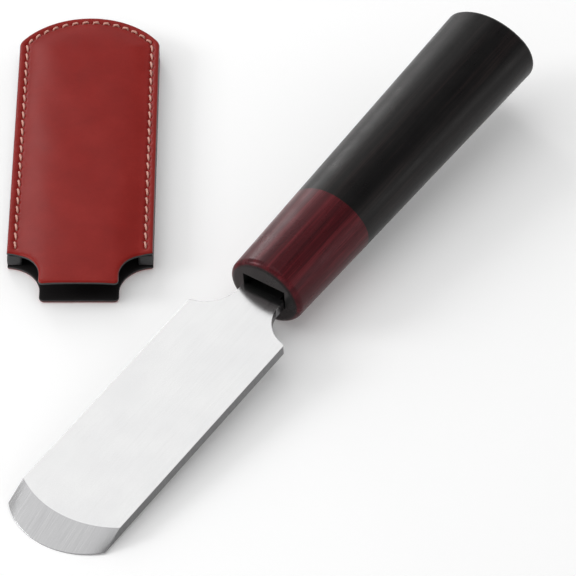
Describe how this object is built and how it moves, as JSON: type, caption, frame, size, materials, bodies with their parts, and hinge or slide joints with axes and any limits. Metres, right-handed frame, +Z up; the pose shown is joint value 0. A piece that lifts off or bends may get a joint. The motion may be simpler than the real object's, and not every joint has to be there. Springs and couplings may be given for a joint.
{
  "type": "leather skiving knife with sheath",
  "caption": "Wide leather skiving knife with a rounded single-bevel blade and two-tone oval wooden handle, lying beside its stitched leather sheath.",
  "frame": {"origin": "on the surface, under the middle of the bounding box of the knife and its sheath", "axes": "+Z up; +Y along the sheath from its mouth to its closed end; +X to the right, across the sheath. The knife lies with its blade towards -X and -Y and its butt towards +X and +Y, 55.3 degrees from +X."},
  "size_m": [0.1684, 0.2364, 0.0345],
  "materials": {
    "blade_steel": "satin plate with a brushed bevel",
    "red_wood": "dark red lacquered wood",
    "black_wood": "black lacquered wood, satin",
    "pale_wood": "raw dowel wood",
    "resin": "hard dark resin",
    "red_leather": "smooth waxed red leather",
    "dark_leather": "dark edge-dressed leather",
    "thread": "waxed twisted thread"
  },
  "bodies": {
    "knife": {"blade": "blade_steel", "ferrule": "red_wood", "handle": "black_wood", "joining_dowel": "pale_wood", "tang_bedding": "resin"},
    "sheath": {"sheath_front": "red_leather", "sheath_back": "red_leather", "welt_left": "dark_leather", "welt_right": "dark_leather", "welt_end": "dark_leather", "stitching": "thread"}
  },
  "joints": [
    {"name": "sheath_draw", "type": "slide", "parent": "knife", "child": "sheath", "axis": [0, 1, 0], "range_m": [0, 0.12]}
  ]
}
